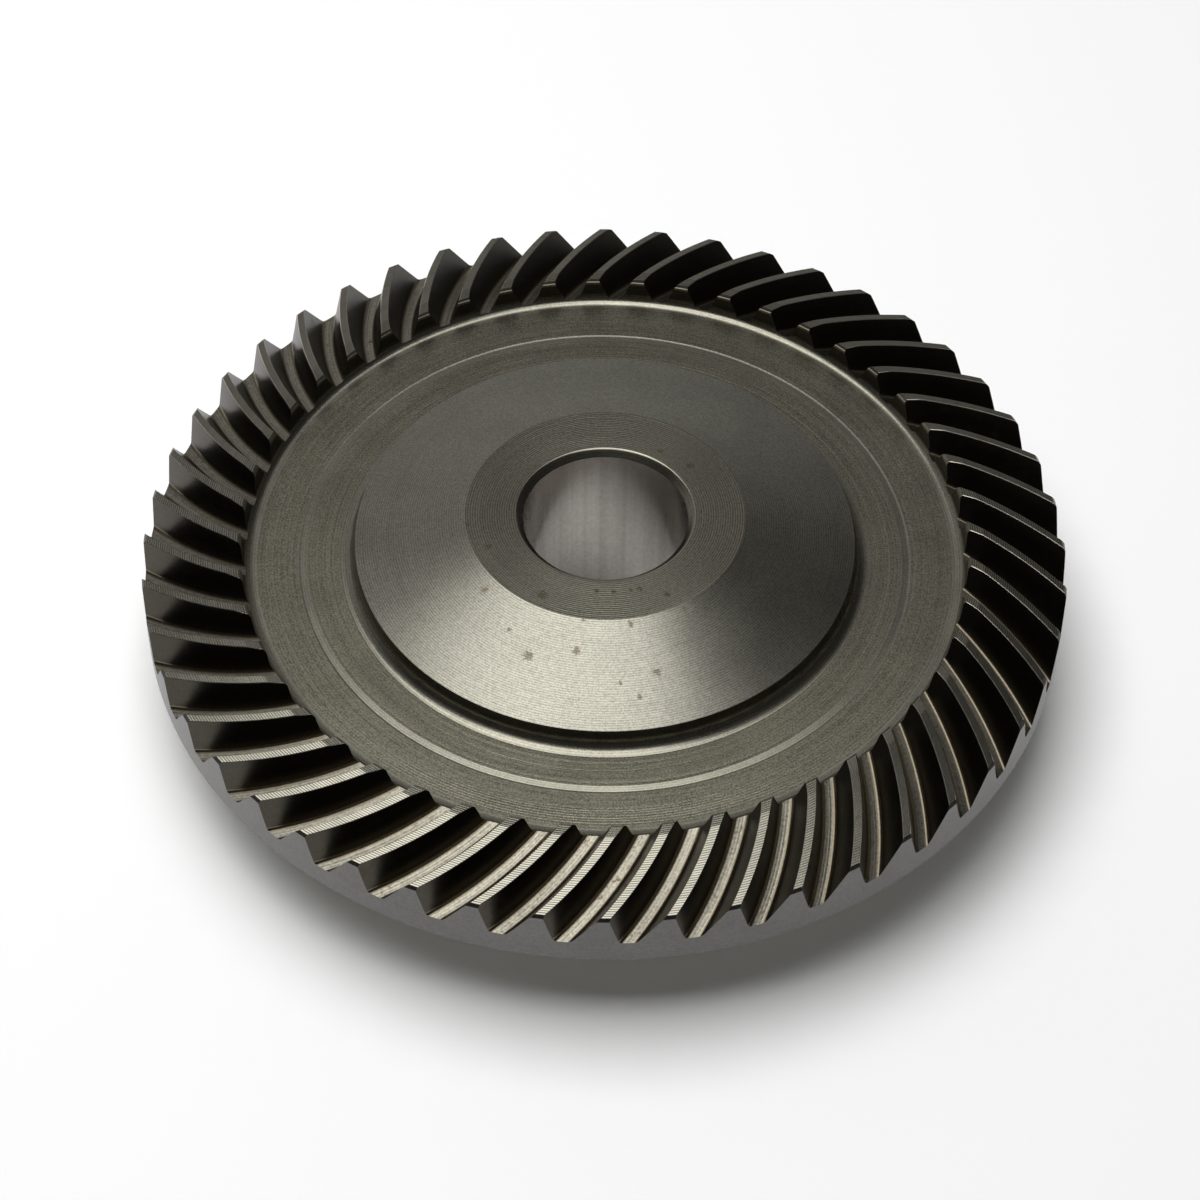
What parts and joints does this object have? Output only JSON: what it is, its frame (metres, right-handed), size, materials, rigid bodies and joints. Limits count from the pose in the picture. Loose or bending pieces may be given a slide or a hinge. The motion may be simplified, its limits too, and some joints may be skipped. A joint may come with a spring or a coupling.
{
  "type": "spiral bevel gear",
  "caption": "Steel spiral bevel gear with right-hand curved teeth, a raised conical hub, a plain through bore and a short back hub.",
  "frame": {"origin": "centre of the back face, on the bore's axis, where the gear rests", "axes": "+Z along the bore's axis, out of the toothed face; +X through the middle of one tooth space at its mean radius"},
  "size_m": [0.073, 0.073, 0.016],
  "materials": {
    "steel": "blasted and turned bare steel with machined tooth flanks"
  },
  "bodies": {
    "root": {"spiral_bevel_gear": "steel"}
  },
  "joints": []
}
